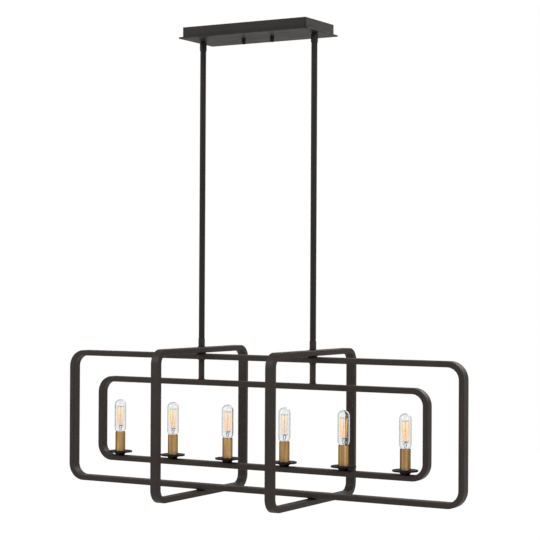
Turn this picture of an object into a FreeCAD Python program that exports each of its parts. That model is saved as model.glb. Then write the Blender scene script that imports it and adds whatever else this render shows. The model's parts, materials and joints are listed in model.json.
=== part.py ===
# Linear island pendant: canopy, two stems on hang-straight balls, an inner and an outer
# bar frame, two cross frames and six candle lights. Millimetres, +Z up, +X along the bars,
# origin on the ceiling at the middle of the mounting bracket.

import FreeCAD, Part
import math
import os
import Sketcher

# ---------------------------------------------------------------- driving sizes

SIZES = [
    ("bracket_long", 112, "mounting bracket, length"),
    ("bracket_wide", 24, "mounting bracket, width"),
    ("bracket_thick", 2.5, "mounting bracket, thickness"),
    ("bracket_corner", 3, "mounting bracket, corner radius"),
    ("box_screw_spacing", 88.9, "ceiling box screws, centre to centre"),
    ("box_slot_long", 10, "ceiling box slots, end to end"),
    ("box_slot_wide", 4.8, "ceiling box slots, width"),
    ("stud_spacing", 69.85, "canopy studs, centre to centre"),
    ("stud_diameter", 4.2, "canopy studs, diameter"),
    ("stud_grip", 8, "canopy studs, length inside the cap nuts"),
    ("stud_nut_flats", 8, "stud locknuts, across flats"),
    ("stud_nut_thick", 3, "stud locknuts, thickness"),
    ("cap_nut_diameter", 8.6, "canopy cap nuts, diameter"),
    ("cap_nut_tall", 11.5, "canopy cap nuts, height"),
    ("cap_nut_round", 1.2, "canopy cap nuts, rounding of the lower edge"),
    ("canopy_deep", 124, "canopy box, depth"),
    ("canopy_tall", 21.4, "canopy box, height"),
    ("canopy_wall", 1.5, "canopy box, wall"),
    ("canopy_corner", 2.5, "canopy box, corner radius"),
    ("plate_lip", 7, "canopy plate, overhang round the box"),
    ("plate_thick", 3, "canopy plate, thickness"),
    ("plate_corner", 4.25, "canopy plate, corner radius"),
    ("plate_edge", 0.8, "canopy plate, edge rounding"),
    ("stem_spacing", 274, "stems, centre to centre"),
    ("stem_diameter", 12.7, "stems and drop tubes, diameter"),
    ("stem_wall", 1.2, "stems and drop tubes, wall"),
    ("stem_showing", 620.8, "stems, length between collar and coupling"),
    ("stem_socketed", 8, "stems, length held inside collar and coupling"),
    ("swivel_hole", 13.2, "canopy plate, hole for the swivel neck"),
    ("ball_diameter", 14.8, "swivel ball, diameter"),
    ("ball_room", 4.1, "swivel ball, gap to the end wall of the canopy box"),
    ("ball_gap", 0.3, "swivel ball, gap to the edge of its hole"),
    ("collar_gap", 2, "swivel collar, gap below the plate"),
    ("collar_diameter", 14.8, "swivel collar, diameter"),
    ("collar_tall", 17.4, "swivel collar, height"),
    ("coupling_diameter", 14, "lower stem coupling, diameter"),
    ("coupling_tall", 18, "lower stem coupling, height"),
    ("turned_chamfer", 0.6, "collars and couplings, end chamfer"),
    ("washer_diameter", 17, "washer on the cross frame, diameter"),
    ("washer_thick", 1.5, "washer on the cross frame, thickness"),
    ("washer_chamfer", 0.375, "washer on the cross frame, edge chamfer"),
    ("spacer_diameter", 19, "spacers between the frames, diameter"),
    ("spacer_thick", 2, "spacers between the frames, thickness"),
    ("spacer_chamfer", 0.5, "spacers between the frames, edge chamfer"),
    ("cone_diameter", 17, "conical collars on the drop tube, diameter"),
    ("cone_tall", 2.2, "conical collars on the drop tube, height"),
    ("cone_lip", 0.5, "conical collars, wall at the thin end"),
    ("pipe_diameter", 9.7, "threaded pipe and nipples, diameter"),
    ("pipe_bore", 6.4, "threaded pipe and nipples, bore"),
    ("hole_gap", 0.2, "clearance of through holes, radial"),
    ("weld_nut_flats", 13, "weld nuts inside the inner frame, across flats"),
    ("weld_nut_thick", 2.8, "weld nuts inside the inner frame, thickness"),
    ("thread_past_nut", 0.8, "thread standing past the weld nuts"),
    ("bar_wide", 20, "bar of the inner and cross frames, width"),
    ("outer_wide", 24, "bar of the outer frame, width"),
    ("bar_thick", 12, "bars of all frames, thickness"),
    ("bar_wall", 1.5, "bars of all frames, wall"),
    ("bar_edge", 1.8, "bars of all frames, edge rounding"),
    ("outer_long", 965, "outer frame, length"),
    ("outer_tall", 292, "outer frame, height"),
    ("outer_corner", 37, "outer frame, corner radius"),
    ("inner_long", 808, "inner frame, length"),
    ("inner_tall", 186.8, "inner frame, height"),
    ("inner_corner", 36, "inner frame, corner radius"),
    ("inner_drop", 44, "gap between outer and inner top bars"),
    ("cross_deep", 361, "cross frames, depth front to back"),
    ("cross_corner", 30, "cross frames, corner radius"),
    ("frame_screw_diameter", 4, "screws of the lower crossings, diameter"),
    ("frame_screw_past", 2, "screws of the lower crossings, length past the wall"),
    ("sink_left", 0.3, "wall left above the countersinks of those screws"),
    ("light_end_gap", 15.5, "gap between an end dish and the inner frame's upright bar"),
    ("dish_diameter", 53, "bobeche, diameter"),
    ("dish_neck", 15.5, "bobeche, neck diameter on the bar"),
    ("dish_flare", 18.125, "bobeche, neck diameter half way up to the throat"),
    ("dish_throat", 26, "bobeche, diameter where neck meets dish"),
    ("dish_throat_rise", 6.5, "bobeche, height of that throat"),
    ("dish_rim_rise", 7.7, "bobeche, height of the underside at the rim"),
    ("dish_rim_widest", 8.46, "bobeche, height where the rim is widest"),
    ("dish_rim_under", 0.8, "bobeche, how far the underside ends inside the rim"),
    ("dish_rim_over", 0.4, "bobeche, how far the lip's top starts inside the rim"),
    ("dish_floor", 8.8, "bobeche, height of the dish floor"),
    ("dish_tall", 9.6, "bobeche, height of lip and candle seat"),
    ("dish_lip", 1.6, "bobeche, width of the lip"),
    ("dish_lip_slope", 0.96, "bobeche, width of the slope inside the lip"),
    ("dish_seat", 23.8, "bobeche, diameter of the candle seat"),
    ("sleeve_diameter", 21.8, "candle sleeve, diameter"),
    ("sleeve_wall", 0.8, "candle sleeve, wall"),
    ("sleeve_tall", 42, "candle sleeve, height"),
    ("socket_diameter", 17.4, "socket body, diameter"),
    ("socket_recess", 1.5, "socket body, distance below the sleeve's top"),
    ("socket_depth", 19.5, "socket body, depth of the lamp hole"),
    ("nipple_grip", 6, "nipple, length inside the socket body"),
    ("shell_wall", 0.4, "screw shell, wall"),
    ("shell_tall", 17, "screw shell, height"),
    ("contact_diameter", 6, "centre contact, diameter"),
    ("contact_tall", 1.2, "centre contact, height"),
    ("lamp_gap", 0.35, "lamp cap, gap to the screw shell"),
    ("cap_diameter", 11.9, "lamp cap, diameter over the thread"),
    ("cap_wall", 0.7, "lamp cap, wall"),
    ("cap_tall", 14.6, "lamp cap, height of the threaded part"),
    ("cap_top", 0.9, "lamp cap, distance of its rim below the sleeve's top"),
    ("thread_pitch", 2.54, "lamp cap, thread pitch"),
    ("thread_depth", 0.4, "lamp cap, thread depth"),
    ("tip_diameter", 4, "lamp cap, contact tip diameter"),
    ("tip_tall", 1.6, "lamp cap, contact tip height"),
    ("tip_cone", 2.2, "lamp cap, height of the insulated cone"),
    ("glass_diameter", 25.4, "lamp glass, diameter"),
    ("glass_tall", 72, "lamp glass, height above the sleeve"),
    ("glass_wall", 0.7, "lamp glass, wall"),
    ("glass_foot", 19.4, "lamp glass, diameter just above the sleeve"),
    ("glass_foot_rise", 0.9, "lamp glass, height of that foot"),
    ("glass_shoulder", 6, "lamp glass, height where it is full width"),
    ("glass_neck_tall", 6.5, "lamp glass, length of the neck inside the cap"),
    ("cage_top_diameter", 15.6, "filament cage, diameter at the top"),
    ("cage_foot_diameter", 9.2, "filament cage, diameter at the foot"),
    ("cage_tall", 41, "filament cage, height"),
    ("cage_below_tip", 16.3, "filament cage, distance below the lamp's tip"),
    ("filament_diameter", 0.6, "filament, diameter"),
    ("mount_diameter", 4.4, "glass mount of the filament, diameter"),
    ("mount_rise", 10, "glass mount of the filament, height above the sleeve"),
    ("post_diameter", 1, "centre post of the filament, diameter"),
    ("mount_foot", 1.5, "glass mount, thickness of its foot disc"),
]
LIGHTS = 6
THREAD_TURNS = 4
THREAD_START = 0.35  # share of a pitch below the first turn
THREAD_FLANK = 0.3  # share of a pitch from root to crest
FILAMENT_STRANDS = 10
NEAR = 1e-6  # lengths closer than this are equal

doc = FreeCAD.newDocument("island_pendant")
sheet = doc.addObject("Spreadsheet::Sheet", "Sizes")
for row, (alias, number, meaning) in enumerate(SIZES, start=1):
    sheet.set(f"A{row}", meaning)
    sheet.set(f"B{row}", str(number))
    sheet.setAlias(f"B{row}", alias)
doc.recompute()


class Size:
    """A length: its number now, and the sheet expression that keeps it."""

    def __init__(self, number, words):
        self.number = number
        self.words = words

    def __add__(self, other):
        other = as_size(other)
        return Size(self.number + other.number, f"({self.words} + {other.words})")

    def __sub__(self, other):
        other = as_size(other)
        return Size(self.number - other.number, f"({self.words} - {other.words})")

    def __mul__(self, factor):
        return Size(self.number * factor, f"({self.words} * {factor:.9f})")

    def __truediv__(self, divisor):
        return Size(self.number / divisor, f"({self.words} / {divisor})")

    def __neg__(self):
        return Size(-self.number, f"(-1 * {self.words})")


def as_size(value):
    return value if isinstance(value, Size) else Size(float(value), f"{value}")


def cell(alias):
    return Size(float(sheet.get(alias)), f"Sizes.{alias}")


def leg(hypotenuse, side):
    """The other leg of a right-angled triangle."""
    squares = f"({hypotenuse.words}) ^ 2 - ({side.words}) ^ 2"
    return Size(math.sqrt(hypotenuse.number ** 2 - side.number ** 2), f"sqrt({squares})")


ZERO = Size(0.0, "0")

# ---------------------------------------------------------------- ways of making a piece

sub_parts = []


def new_body(label):
    body = doc.addObject("PartDesign::Body", label)
    body.Label = label
    return body


def keep(piece):
    """Count a finished piece among the sub-parts that are written out."""
    sub_parts.append(piece)
    return piece


def sketch_on(body, role, lift=None):
    """A sketch on one of the body's origin planes, lifted along the plane's normal."""
    sketch = body.newObject("Sketcher::SketchObject", f"{body.Name}_sketch")
    plane = next(item for item in body.Origin.OriginFeatures if item.Role == role)
    sketch.AttachmentSupport = (plane, [""])
    sketch.MapMode = "FlatFace"
    if lift is not None:
        sketch.setExpression("AttachmentOffset.Base.z", lift.words)
    return sketch


def limit(sketch, kind, references, size):
    """A sketch dimension that follows the sheet."""
    index = sketch.addConstraint(Sketcher.Constraint(kind, *references, size.number))
    sketch.setExpression(f"Constraints[{index}]", size.words)


def pin_point(sketch, curve, end, across, up):
    """Hold one end of a curve at a place measured from the sketch's origin."""
    for kind, axis, size in (("DistanceX", -2, across), ("DistanceY", -1, up)):
        if size is ZERO:
            sketch.addConstraint(Sketcher.Constraint("PointOnObject", curve, end, axis))
        else:
            limit(sketch, kind, (-1, 1, curve, end), size)


def vector(across, up):
    return FreeCAD.Vector(across.number, up.number, 0)


def outline(sketch, points, domes=()):
    """A closed outline through the points. A side listed in domes is an arc about the
    upright axis, and the others are straight."""
    ends = []
    for side, (start, stop) in enumerate(zip(points, points[1:] + points[:1])):
        first, last = vector(*start), vector(*stop)
        if side not in domes:
            sketch.addGeometry(Part.LineSegment(first, last), False)
            ends.append((1, 2))
            continue
        # the centre is the point of the axis that is as far from one end as from the other
        climb = last.y - first.y
        centre_y = (last.x ** 2 + last.y ** 2 - first.x ** 2 - first.y ** 2) / (2 * climb)
        centre = FreeCAD.Vector(0, centre_y, 0)
        angles = [math.atan2(point.y - centre_y, point.x) for point in (first, last)]
        circle = Part.Circle(centre, FreeCAD.Vector(0, 0, 1), (first - centre).Length)
        sketch.addGeometry(Part.ArcOfCircle(circle, min(angles), max(angles)), False)
        ends.append((1, 2) if angles[0] < angles[1] else (2, 1))
    base = sketch.GeometryCount - len(points)
    for side, (start, stop) in enumerate(ends):
        following = (side + 1) % len(points)
        join = (base + side, stop, base + following, ends[following][0])
        sketch.addConstraint(Sketcher.Constraint("Coincident", *join))
        pin_point(sketch, base + side, start, *points[side])
        if side in domes:
            sketch.addConstraint(Sketcher.Constraint("PointOnObject", base + side, 3, -2))


def circle(sketch, across, up, radius):
    sketch.addGeometry(Part.Circle(vector(across, up), FreeCAD.Vector(0, 0, 1), radius.number), False)
    curve = sketch.GeometryCount - 1
    pin_point(sketch, curve, 3, across, up)
    limit(sketch, "Radius", (curve,), radius)


def rounded_rectangle(sketch, wide, high, corner):
    """A rectangle with round corners about the sketch's origin."""
    base = sketch.GeometryCount
    half_x, half_y, bend = wide.number / 2, high.number / 2, corner.number
    signs = ((1, 1), (-1, 1), (-1, -1), (1, -1))
    normal = FreeCAD.Vector(0, 0, 1)
    for quarter, (side_x, side_y) in enumerate(signs):
        centre = FreeCAD.Vector(side_x * (half_x - bend), side_y * (half_y - bend), 0)
        start = quarter * math.pi / 2
        arc = Part.ArcOfCircle(Part.Circle(centre, normal, bend), start, start + math.pi / 2)
        sketch.addGeometry(arc, False)
    for quarter in range(4):
        begin = sketch.getPoint(base + quarter, 2)
        finish = sketch.getPoint(base + (quarter + 1) % 4, 1)
        sketch.addGeometry(Part.LineSegment(begin, finish), False)
    for quarter in range(4):
        arc, line, following = base + quarter, base + 4 + quarter, base + (quarter + 1) % 4
        direction = "Horizontal" if quarter % 2 == 0 else "Vertical"
        sketch.addConstraint(Sketcher.Constraint("Tangent", arc, 2, line, 1))
        sketch.addConstraint(Sketcher.Constraint("Tangent", line, 2, following, 1))
        sketch.addConstraint(Sketcher.Constraint(direction, line))
        if quarter:
            sketch.addConstraint(Sketcher.Constraint("Equal", base, arc))
    sketch.addConstraint(Sketcher.Constraint("Symmetric", base, 3, base + 2, 3, -1, 1))
    limit(sketch, "Radius", (base,), corner)
    limit(sketch, "DistanceX", (base + 5, 1, base + 7, 1), wide)
    limit(sketch, "DistanceY", (base + 6, 1, base + 4, 1), high)


def slot(sketch, across, long, wide):
    """A slot along X on the sketch's X axis, centred at across."""
    base = sketch.GeometryCount
    reach = (long - wide) / 2
    normal = FreeCAD.Vector(0, 0, 1)
    centres = (across + reach, across - reach)
    for turn, centre in enumerate(centres):
        start = -math.pi / 2 + turn * math.pi
        end_circle = Part.Circle(vector(centre, ZERO), normal, wide.number / 2)
        sketch.addGeometry(Part.ArcOfCircle(end_circle, start, start + math.pi), False)
    for turn in range(2):
        begin = sketch.getPoint(base + turn, 2)
        finish = sketch.getPoint(base + 1 - turn, 1)
        sketch.addGeometry(Part.LineSegment(begin, finish), False)
    for turn, centre in enumerate(centres):
        sketch.addConstraint(Sketcher.Constraint("Tangent", base + turn, 2, base + 2 + turn, 1))
        sketch.addConstraint(Sketcher.Constraint("Tangent", base + 2 + turn, 2, base + 1 - turn, 1))
        pin_point(sketch, base + turn, 3, centre, ZERO)
    sketch.addConstraint(Sketcher.Constraint("Equal", base, base + 1))
    limit(sketch, "Radius", (base,), wide / 2)


def pad(body, sketch, length, downwards=False, both_ways=False):
    feature = body.newObject("PartDesign::Pad", f"{body.Name}_pad")
    feature.Profile = sketch
    feature.Reversed = downwards
    if both_ways:
        feature.SideType = "Symmetric"
    feature.setExpression("Length", length.words)
    return feature


def pocket(body, sketch, depth, both_ways=False):
    feature = body.newObject("PartDesign::Pocket", f"{body.Name}_pocket")
    feature.Profile = sketch
    if both_ways:
        feature.SideType = "Symmetric"
    feature.setExpression("Length", depth.words)
    return feature


def dress(body, kind, base, edges, size):
    """A fillet or chamfer on the edges of the base feature that the test accepts."""
    doc.recompute()
    names = [f"Edge{number}" for number, edge in enumerate(base.Shape.Edges, 1) if edges(edge)]
    feature = body.newObject(f"PartDesign::{kind}", f"{body.Name}_{kind.lower()}")
    feature.Base = (base, names)
    feature.setExpression("Radius" if kind == "Fillet" else "Size", size.words)
    return feature


def turned(label, points, domes=()):
    """A piece turned about its upright axis."""
    body = new_body(label)
    profile = sketch_on(body, "XZ_Plane")
    outline(profile, points, domes)
    feature = body.newObject("PartDesign::Revolution", f"{body.Name}_turn")
    feature.Profile = profile
    feature.ReferenceAxis = (profile, ["V_Axis"])
    feature.Angle = 360
    return body


def ring(label, outer, bore, tall):
    """A plain ring or tube standing on its origin."""
    return turned(label, [(bore, ZERO), (outer, ZERO), (outer, tall), (bore, tall)])


def hex_nut(label, flats, bore, thick):
    """A hexagonal nut hanging down from its origin."""
    body = new_body(label)
    sketch = sketch_on(body, "XY_Plane")
    corner = flats / 2 / math.cos(math.pi / 6)
    turns = [math.radians(60 * number + 30) for number in range(6)]
    outline(sketch, [(corner * math.cos(turn), corner * math.sin(turn)) for turn in turns])
    circle(sketch, ZERO, ZERO, bore)
    pad(body, sketch, thick, downwards=True)
    return body


def place(piece, across, up):
    if across is not ZERO:
        piece.setExpression("Placement.Base.x", across.words)
    piece.setExpression("Placement.Base.z", up.words)
    return piece


def mirrored(piece, label):
    """The same piece on the other side of the pendant's middle."""
    twin = doc.addObject("Part::Mirroring", label)
    twin.Label = label
    twin.Source = piece
    twin.Normal = FreeCAD.Vector(1, 0, 0)
    twin.Base = FreeCAD.Vector(0, 0, 0)
    return twin


def group(label, pieces):
    """Equal pieces that share one sub-part, as separate solids."""
    together = doc.addObject("Part::Compound", label)
    together.Label = label
    together.Links = pieces
    return keep(together)


def pair(label, piece):
    piece.Label = f"{label}_one"
    return group(label, [piece, mirrored(piece, f"{label}_two")])


# ---------------------------------------------------------------- heights, from the ceiling down

bar_wide = cell("bar_wide")
bar_thick = cell("bar_thick")
bar_wall = cell("bar_wall")
spacer_thick = cell("spacer_thick")
pipe_radius = cell("pipe_diameter") / 2
pipe_bore = cell("pipe_bore") / 2
pipe_hole = pipe_radius + cell("hole_gap")
stem_radius = cell("stem_diameter") / 2
stem_bore = stem_radius - cell("stem_wall")
stem_socketed = cell("stem_socketed")
stem_x = cell("stem_spacing") / 2
stud_radius = cell("stud_diameter") / 2
stud_x = cell("stud_spacing") / 2
cross_tall = cell("outer_tall") + spacer_thick * 2 + bar_thick * 2
canopy_end = stem_x + cell("ball_diameter") / 2 + cell("ball_room") + cell("canopy_wall")
canopy_long = canopy_end * 2

plate_top = -cell("canopy_tall")
plate_under = plate_top - cell("plate_thick")
ball_centre = plate_top + leg(cell("ball_diameter") / 2 + cell("ball_gap"), cell("swivel_hole") / 2)
collar_top = plate_under - cell("collar_gap")
collar_under = collar_top - cell("collar_tall")
coupling_top = collar_under - cell("stem_showing")
coupling_under = coupling_top - cell("coupling_tall")
cross_top = coupling_under - cell("washer_thick")
outer_top = cross_top - bar_thick - spacer_thick
outer_under = outer_top - cell("outer_tall")
inner_top = outer_top - bar_thick - cell("inner_drop")
light_bar_top = inner_top - cell("inner_tall") + bar_thick
cross_under = cross_top - cross_tall
seat = light_bar_top + cell("dish_tall")
sleeve_top = seat + cell("sleeve_tall")

# ---------------------------------------------------------------- ceiling side


def mounting_bracket():
    """Strap on the ceiling box: two slots for the box's screws, two threaded stud holes."""
    body = new_body("mounting_bracket")
    sketch = sketch_on(body, "XY_Plane")
    rounded_rectangle(sketch, cell("bracket_long"), cell("bracket_wide"), cell("bracket_corner"))
    for side in (1, -1):
        slot(sketch, cell("box_screw_spacing") / 2 * side, cell("box_slot_long"), cell("box_slot_wide"))
        circle(sketch, stud_x * side, ZERO, stud_radius)
    pad(body, sketch, cell("bracket_thick"), downwards=True)
    return keep(body)


def canopy_box():
    """The canopy's four walls, open against the ceiling."""
    body = new_body("canopy_box")
    sketch = sketch_on(body, "XY_Plane")
    deep, wall, corner = map(cell, ("canopy_deep", "canopy_wall", "canopy_corner"))
    rounded_rectangle(sketch, canopy_long, deep, corner)
    rounded_rectangle(sketch, canopy_long - wall * 2, deep - wall * 2, corner - wall)
    pad(body, sketch, cell("canopy_tall"), downwards=True)
    return keep(body)


def canopy_plate():
    """The wider plate under the box, with holes for the two swivels and the two studs."""
    body = new_body("canopy_plate")
    sketch = sketch_on(body, "XY_Plane")
    lip, thick = cell("plate_lip"), cell("plate_thick")
    wide, deep = canopy_long + lip * 2, cell("canopy_deep") + lip * 2
    rounded_rectangle(sketch, wide, deep, cell("plate_corner"))
    for side in (1, -1):
        circle(sketch, stem_x * side, ZERO, cell("swivel_hole") / 2)
        circle(sketch, stud_x * side, ZERO, stud_radius + cell("hole_gap"))
    plate = pad(body, sketch, thick, downwards=True)

    def rim(edge):
        box = edge.BoundBox
        past_the_holes = max(abs(box.YMin), abs(box.YMax)) > cell("swivel_hole").number
        return box.ZLength < NEAR and past_the_holes

    dress(body, "Fillet", plate, rim, cell("plate_edge"))
    place(body, ZERO, plate_top)
    return keep(body)


def canopy_fixings():
    """Two studs in the bracket, their locknuts, and the cap nuts that hold the canopy up."""
    stud_end = plate_under - cell("stud_grip")
    stud = turned("stud", [(ZERO, stud_end), (stud_radius, stud_end), (stud_radius, ZERO), (ZERO, ZERO)])
    place(stud, stud_x, ZERO)
    pair("canopy_studs", stud)
    nut = hex_nut("locknut", cell("stud_nut_flats"), stud_radius, cell("stud_nut_thick"))
    place(nut, stud_x, -cell("bracket_thick"))
    pair("stud_locknuts", nut)
    radius, tall, grip = cell("cap_nut_diameter") / 2, cell("cap_nut_tall"), cell("stud_grip")
    edge = cell("cap_nut_round")
    points = [
        (ZERO, -tall),
        (radius - edge, -tall),
        (radius, -tall + edge),
        (radius, ZERO),
        (stud_radius, ZERO),
        (stud_radius, -grip),
        (ZERO, -grip),
    ]
    cap_nut = turned("cap_nut", points)
    place(cap_nut, stud_x, plate_under)
    pair("canopy_cap_nuts", cap_nut)


# ---------------------------------------------------------------- stems


def swivel_ball():
    """Bored ball that rests in the plate's hole, with the neck that screws into the collar."""
    radius = cell("ball_diameter") / 2
    neck_end = collar_under + stem_socketed - ball_centre
    points = [
        (pipe_bore, neck_end),
        (pipe_radius, neck_end),
        (pipe_radius, -leg(radius, pipe_radius)),
        (pipe_bore, leg(radius, pipe_bore)),
    ]
    return turned("swivel_ball", points, domes=(2,))


def socketed_collar(label, radius, tall, stem_at_top):
    """Collar with a wide bore for the stem at one end and a threaded bore at the other."""
    chamfer = cell("turned_chamfer")
    if stem_at_top:
        wide, narrow, step = tall, ZERO, tall - stem_socketed
    else:
        wide, narrow, step = ZERO, tall, stem_socketed
    inside = [(stem_radius, wide), (stem_radius, step), (pipe_radius, step), (pipe_radius, narrow)]
    if not stem_at_top:
        inside = inside[::-1]
    outside = [
        (radius - chamfer, ZERO),
        (radius, chamfer),
        (radius, tall - chamfer),
        (radius - chamfer, tall),
    ]
    return turned(label, outside + inside)


def washer(label, diameter, thick, chamfer):
    """Washer or spacer on the threaded pipe, chamfered at both outer edges."""
    radius = diameter / 2
    points = [
        (pipe_hole, ZERO),
        (radius - chamfer, ZERO),
        (radius, chamfer),
        (radius, thick - chamfer),
        (radius - chamfer, thick),
        (pipe_hole, thick),
    ]
    return turned(label, points)


def cone_collar(label, wide_end_up):
    """Conical collar round one end of the drop tube, wide against the bar."""
    radius, tall, lip = cell("cone_diameter") / 2, cell("cone_tall"), stem_radius + cell("cone_lip")
    bottom, top = (lip, radius) if wide_end_up else (radius, lip)
    return turned(label, [(stem_radius, ZERO), (bottom, ZERO), (top, tall), (stem_radius, tall)])


def stems():
    ball = swivel_ball()
    place(ball, stem_x, ball_centre)
    pair("swivel_balls", ball)

    collar = socketed_collar("swivel_collar", cell("collar_diameter") / 2, cell("collar_tall"), False)
    place(collar, stem_x, collar_under)
    pair("swivel_collars", collar)

    stem = ring("stem_right", stem_radius, stem_bore, cell("stem_showing") + stem_socketed * 2)
    place(stem, stem_x, coupling_top - stem_socketed)
    keep(stem)
    keep(mirrored(stem, "stem_left"))

    coupling = socketed_collar("coupling", cell("coupling_diameter") / 2, cell("coupling_tall"), True)
    place(coupling, stem_x, coupling_under)
    pair("stem_couplings", coupling)

    washer_sizes = map(cell, ("washer_diameter", "washer_thick", "washer_chamfer"))
    top_washer = washer("washer", *washer_sizes)
    place(top_washer, stem_x, cross_top)
    pair("cross_washers", top_washer)

    spacer = washer("spacer", cell("spacer_diameter"), spacer_thick, cell("spacer_chamfer"))
    place(spacer, stem_x, outer_top)
    pair("crossing_spacers", spacer)

    tube = ring("drop_tube", stem_radius, stem_bore, cell("inner_drop"))
    place(tube, stem_x, inner_top)
    pair("drop_tubes", tube)

    upper_cone = cone_collar("upper_cone", True)
    place(upper_cone, stem_x, inner_top + cell("inner_drop") - cell("cone_tall"))
    pair("upper_cone_collars", upper_cone)
    lower_cone = cone_collar("lower_cone", False)
    place(lower_cone, stem_x, inner_top)
    pair("lower_cone_collars", lower_cone)

    pipe_end = inner_top - bar_wall - cell("weld_nut_thick") - cell("thread_past_nut")
    pipe_top = coupling_top - stem_socketed
    pipe = ring("pipe", pipe_radius, pipe_bore, pipe_top - pipe_end)
    place(pipe, stem_x, pipe_end)
    pair("threaded_pipes", pipe)

    nut = hex_nut("pipe_nut", cell("weld_nut_flats"), pipe_radius, cell("weld_nut_thick"))
    place(nut, stem_x, inner_top - bar_wall)
    pair("pipe_weld_nuts", nut)


# ---------------------------------------------------------------- frames


def bar_frame(label, role, long, tall, corner, wide):
    """A closed loop of rectangular tube in an upright plane, centred on its origin."""
    body = new_body(label)
    loop = sketch_on(body, role)
    rounded_rectangle(loop, long, tall, corner)
    rounded_rectangle(loop, long - bar_thick * 2, tall - bar_thick * 2, corner - bar_thick)
    bar = pad(body, loop, wide, both_ways=True)
    flat = {"XZ_Plane": "y", "YZ_Plane": "x"}[role]

    def on_a_side(edge):
        return all(abs(abs(getattr(v.Point, flat)) - wide.number / 2) < NEAR for v in edge.Vertexes)

    dress(body, "Fillet", bar, on_a_side, cell("bar_edge"))
    bore = sketch_on(body, role)
    rounded_rectangle(bore, long - bar_wall * 2, tall - bar_wall * 2, corner - bar_wall)
    in_long = long - bar_thick * 2 + bar_wall * 2
    in_tall = tall - bar_thick * 2 + bar_wall * 2
    rounded_rectangle(bore, in_long, in_tall, corner - bar_thick + bar_wall)
    pocket(body, bore, wide - bar_wall * 2, both_ways=True)
    return body


def drill(body, height, depth, radius, places):
    """Round holes straight down from a height, at the given places along X."""
    sketch = sketch_on(body, "XY_Plane", height)
    for across in places:
        circle(sketch, across, ZERO, radius)
    return pocket(body, sketch, depth)


def outer_frame():
    tall = cell("outer_tall")
    long, corner, wide = map(cell, ("outer_long", "outer_corner", "outer_wide"))
    body = bar_frame("outer_frame", "XZ_Plane", long, tall, corner, wide)
    sides = (stem_x, -stem_x)
    drill(body, tall / 2, bar_thick, pipe_hole, sides)
    drill(body, -(tall / 2) + bar_wall, bar_wall, cell("frame_screw_diameter") / 2, sides)
    place(body, ZERO, outer_top - tall / 2)
    return keep(body)


def inner_frame():
    """The tube that carries the lights; its own loop holds the wiring."""
    tall = cell("inner_tall")
    long, corner = cell("inner_long"), cell("inner_corner")
    body = bar_frame("inner_frame", "XZ_Plane", long, tall, corner, bar_wide)
    drill(body, tall / 2, bar_wall, pipe_radius, (stem_x, -stem_x))
    drill(body, -(tall / 2) + bar_thick, bar_wall, pipe_radius, light_places())
    place(body, ZERO, inner_top - tall / 2)
    return keep(body)


def cross_frame():
    """Square to the other two, round the outside of the outer frame."""
    deep, corner = cell("cross_deep"), cell("cross_corner")
    body = bar_frame("cross_frame_right", "YZ_Plane", deep, cross_tall, corner, bar_wide)
    drill(body, cross_tall / 2, bar_thick, pipe_hole, (ZERO,))
    hole_radius = cell("frame_screw_diameter") / 2 + cell("hole_gap")
    hole = drill(body, -(cross_tall / 2) + bar_thick, bar_thick, hole_radius, (ZERO,))

    def lower_mouth(edge):
        box = edge.BoundBox
        low = abs(box.ZMin + cross_tall.number / 2) < NEAR and box.ZLength < NEAR
        return low and box.DiagonalLength < cell("frame_screw_diameter").number * 2

    dress(body, "Chamfer", hole, lower_mouth, sink_depth())
    place(body, stem_x, cross_top - cross_tall / 2)
    keep(body)
    keep(mirrored(body, "cross_frame_left"))


def sink_depth():
    """Depth of the countersink in the wall of the bar."""
    return bar_wall - cell("sink_left")


def crossing_screws():
    """Spacers and flush screws where the cross frames pass under the outer frame."""
    spacer = washer("low_spacer", cell("spacer_diameter"), spacer_thick, cell("spacer_chamfer"))
    place(spacer, stem_x, outer_under - spacer_thick)
    pair("lower_spacers", spacer)
    radius = cell("frame_screw_diameter") / 2
    seat_radius = radius + cell("hole_gap")
    sink = sink_depth()
    length = bar_thick + spacer_thick + bar_wall + cell("frame_screw_past")
    points = [
        (ZERO, ZERO),
        (seat_radius + sink, ZERO),
        (seat_radius, sink),
        (radius, sink),
        (radius, length),
        (ZERO, length),
    ]
    screw = turned("frame_screw", points)
    place(screw, stem_x, cross_under)
    pair("frame_screws", screw)


# ---------------------------------------------------------------- lights


def light_places():
    """Middles of the lights, spread evenly from one upright bar of the inner frame to the other."""
    last = cell("inner_long") / 2 - bar_thick - cell("light_end_gap") - cell("dish_diameter") / 2
    return [last * (2 * number / (LIGHTS - 1) - 1) for number in range(LIGHTS)]


def bobeche(label):
    """Dark dish on a flared neck, with a lip round it and a seat for the candle sleeve."""
    rim = cell("dish_diameter") / 2
    lip_start = rim - cell("dish_lip")
    floor, tall = cell("dish_floor"), cell("dish_tall")
    seat_radius = cell("dish_seat") / 2
    throat_rise = cell("dish_throat_rise")
    points = [
        (pipe_hole, ZERO),
        (cell("dish_neck") / 2, ZERO),
        (cell("dish_flare") / 2, throat_rise / 2),
        (cell("dish_throat") / 2, throat_rise),
        (rim - cell("dish_rim_under"), cell("dish_rim_rise")),
        (rim, cell("dish_rim_widest")),
        (rim - cell("dish_rim_over"), tall),
        (lip_start, tall),
        (lip_start - cell("dish_lip_slope"), floor),
        (seat_radius, floor),
        (seat_radius, tall),
        (pipe_hole, tall),
    ]
    return turned(label, points)


def socket_body(label):
    """Insulated socket round the nipple, with a hole for screw shell and lamp cap."""
    radius = cell("socket_diameter") / 2
    hole = shell_outside()
    tall = cell("sleeve_tall") - cell("socket_recess")
    floor = tall - cell("socket_depth")
    grip = cell("nipple_grip")
    points = [
        (pipe_radius, ZERO),
        (radius, ZERO),
        (radius, tall),
        (hole, tall),
        (hole, floor),
        (ZERO, floor),
        (ZERO, grip),
        (pipe_radius, grip),
    ]
    return turned(label, points)


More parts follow.
